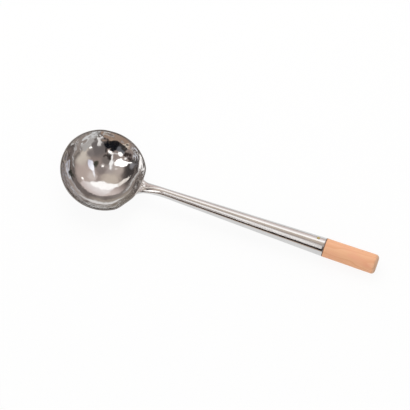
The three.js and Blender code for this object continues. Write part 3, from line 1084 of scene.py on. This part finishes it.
def lamp(name, strength, azimuth, elevation, size):
    """A small round lamp in the tent, its size the degrees from its middle to its edge."""
    ball = bmesh.new()
    bmesh.ops.create_icosphere(
        ball, subdivisions=2, radius=LAMP_REACH * math.tan(math.radians(size)),
        matrix=Matrix.Translation(towards(azimuth, elevation, LAMP_REACH)))
    mesh = bpy.data.meshes.new(name)
    ball.to_mesh(mesh)
    ball.free()
    colour = tuple(strength * warmth for warmth in LAMP_WARMTH)
    seen_in_steel(name, mesh, card_glow(name, colour, colour, 0.0, 1.0))


tent_mesh = bpy.data.meshes.new("tent")
tent = bmesh.new()
bmesh.ops.create_uvsphere(
    tent, u_segments=TENT_SIDES, v_segments=TENT_STEPS, radius=TENT_REACH,
    matrix=Matrix.Translation(lip_centre))
lower_half = [point for point in tent.verts if point.co.z < lip_centre.z]
bmesh.ops.delete(tent, geom=lower_half, context="VERTS")
tent.to_mesh(tent_mesh)
tent.free()
seen_in_steel("tent", tent_mesh, tent_glow())

card("far_softbox", (1.45, 1.41, 1.38),
     (57, 41), (67, 54), (80, 64), (138, 56), (151, 47), (142, 43), (100, 43), (66, 40))
card("far_reflector", (1.1, 1.03, 1.01),
     (58, 40), (66, 40.5), (100, 43.5), (132, 43.5), (113, 31), (107, 26), (97, 20), (71, 17), (56, 15),
     (49, 26), foot_colour=(0.78, 0.66, 0.63))
card("side_reflector", (1.15, 1.05, 0.97), (157, 49), (170, 43), (180, 27), (162, 38), (141, 41))
card("strip_light", (1.48, 1.48, 1.55),
     (-11, 32), (-16, 43), (-4, 55), (13, 59), (48, 61), (47, 60), (19, 56), (7, 42),
     foot_colour=(0.85, 0.85, 1.0))
card("olive_flag", (0.06, 0.06, 0.045),
     (-22, 47), (-32, 52), (-28, 59), (-3, 62), (0, 58), (-8, 52), reach=FRONT_FLAG_REACH)
card("near_softbox", (2.3, 2.24, 2.2),
     (250, 55), (249, 47), (243, 41.5), (239.5, 35), (232, 32), (222, 30.5), (217, 28), (212, 23.5),
     (208.5, 21), (209, 24), (213, 29), (217, 32), (214, 36), (212, 40), (218, 48), (230, 54), (237, 61),
     (244, 59))
card("near_strip", (1.9, 1.85, 1.82), (240, 24.5), (240, 29), (242, 31), (249, 31.5), (254, 29), (254, 25))
card("thin_strip", (1.0, 0.96, 0.94),
     (254, 28.5), (254, 31.5), (260, 33), (266, 34.5), (270, 37.5), (273, 39), (273.5, 36.5), (270.5, 33),
     (267, 31.5), (260, 30.5))
card("door_strip", (1.1, 1.06, 1.03),
     (302, 4), (302, 10.5), (305, 13), (307, 17), (309.5, 16.5), (309.5, 6), (307, 2))
card("low_reflector", (0.55, 0.52, 0.50), (311, -1), (311, 4), (322, 7), (340, 11), (346, 9), (346, -1))
card("tan_board", (0.42, 0.30, 0.23),
     (236, -1), (236, 10), (240, 13.5), (247, 12.5), (256, 11), (262, 9.8), (270, 9.6), (276, 9), (283, 6.5),
     (300, 7), (300, -1))
card("tan_strip", (0.95, 0.68, 0.48),
     (258, 2), (258, 9), (264, 10), (270, 9.5), (275, 9), (275, 3), reach=STRIP_REACH)
card("cream_strip", (0.95, 0.83, 0.70),
     (238, 8), (240, 13), (245, 13), (249, 11), (248, 7), reach=STRIP_REACH)
card("black_flag", (0.006, 0.007, 0.01),
     (262, 10.5), (262, 24), (266, 29.5), (272, 31), (279, 32.5), (283, 29), (288, 27.5), (292, 25),
     (298, 24), (302, 18), (302, 12), (299, 8), (291, 8), (282, 7), (276, 9), (270, 10), reach=FLAG_REACH)
card("low_slate_flag", (0.05, 0.045, 0.042),
     (240, 12.5), (240, 19), (250, 18.5), (262, 19), (262, 10.5), (250, 12.5), reach=FLAG_REACH)
card("slate_flag", (0.18, 0.18, 0.195),
     (240, 19), (240, 24.5), (254, 25), (262, 25), (262, 19), (250, 18.5), reach=FLAG_REACH)
card("near_flag", (0.045, 0.038, 0.036),
     (280.5, 31.5), (280, 40.5), (284, 39), (291, 41.5), (293.5, 31), (292, 25.5), (288, 28), (283, 29.5),
     reach=FLAG_REACH)
card("brown_flag", (0.04, 0.03, 0.027),
     (271, 37.5), (270.5, 44), (272, 51), (273, 55), (278, 55), (279, 50), (284, 48.5), (292, 48.5),
     (303, 50.5), (303, 47.5), (297, 46), (290, 46), (280, 44.5), (277, 41), (275, 38), reach=FAR_FLAG_REACH)
card("maroon_flag", (0.05, 0.036, 0.034),
     (221, 20), (221, 25), (226, 27), (231, 26), (239, 26), (239, 18), (233, 17), (228, 18), reach=FLAG_REACH)
card("handle_softbox", (1.3, 1.27, 1.25),
     (238, 76), (239, 78), (240, 80), (262, 74), (269, 67), (270, 32), (264, 43), (261, 55), (259, 52),
     (258, 49), reach=HANDLE_SOFTBOX_REACH)
lamp("lamp_high_right", 3.0, 320, 71, 2.2)
lamp("lamp_high_left", 2.0, 226, 65, 1.6)
lamp("lamp_low_right", 3.0, 328, 12.5, 2.4)
lamp("lamp_front", 2.5, 270, 34, 1.7)
lamp("lamp_far_right", 2.0, 46, 27, 2.0)

# Light: a pale room and one large soft lamp above and behind the ladle, at a level at which a colour
# looks about as it is written.

ROOM_LIGHT = 0.76
ROOM_TINT = (1, 0.985, 0.97, 1)
KEY_POWER = 13.0
KEY_SIZE = 1.6
KEY_PLACE = Vector((-0.5, 0.9, 1.7))

world = bpy.data.worlds.new("room")
bpy.context.scene.world = world
world.use_nodes = True
room = world.node_tree
room.nodes.clear()
soft_light = put(room, "ShaderNodeBackground", {"Color": ROOM_TINT, "Strength": ROOM_LIGHT})
white = put(room, "ShaderNodeBackground", {"Color": (1, 1, 1, 1), "Strength": 1.0})
room_mix = put(room, "ShaderNodeMixShader", {
    0: seen_directly(room), 1: soft_light.outputs[0], 2: white.outputs[0]})
put(room, "ShaderNodeOutputWorld", {"Surface": room_mix.outputs[0]})

key_light = bpy.data.lights.new("key", "AREA")
key_light.shape = "DISK"
key_light.size = KEY_SIZE
key_light.energy = KEY_POWER
key = bpy.data.objects.new("key", key_light)
bpy.context.scene.collection.objects.link(key)
key.location = KEY_PLACE
key.rotation_euler = (-KEY_PLACE).to_track_quat("-Z", "Y").to_euler()
key.visible_glossy = False
key.visible_camera = False

# Camera: high over the near side and a little towards the grip, with a long lens. It is held level, and the
# handle runs down to the right across the picture.

CAMERA_AZIMUTH = math.radians(19.383)
CAMERA_ELEVATION = math.radians(65.325)
CAMERA_REACH = 3.5
CAMERA_AIM = Vector((-0.02167, 0.00232, 0.025))
SENSOR_WIDTH = 36
PICTURE_WIDTH = 410
FOCAL_PIXELS = 2544.05

camera_data = bpy.data.cameras.new("camera")
camera_data.sensor_width = SENSOR_WIDTH
camera_data.lens = FOCAL_PIXELS * SENSOR_WIDTH / PICTURE_WIDTH
camera = bpy.data.objects.new("camera", camera_data)
bpy.context.scene.collection.objects.link(camera)
camera_back = Vector((
    math.sin(CAMERA_AZIMUTH) * math.cos(CAMERA_ELEVATION),
    -math.cos(CAMERA_AZIMUTH) * math.cos(CAMERA_ELEVATION),
    math.sin(CAMERA_ELEVATION)))
camera.location = CAMERA_AIM + CAMERA_REACH * camera_back
camera.rotation_euler = (-camera_back).to_track_quat("-Z", "Y").to_euler()
bpy.context.scene.camera = camera
bpy.context.scene.view_settings.view_transform = "Standard"
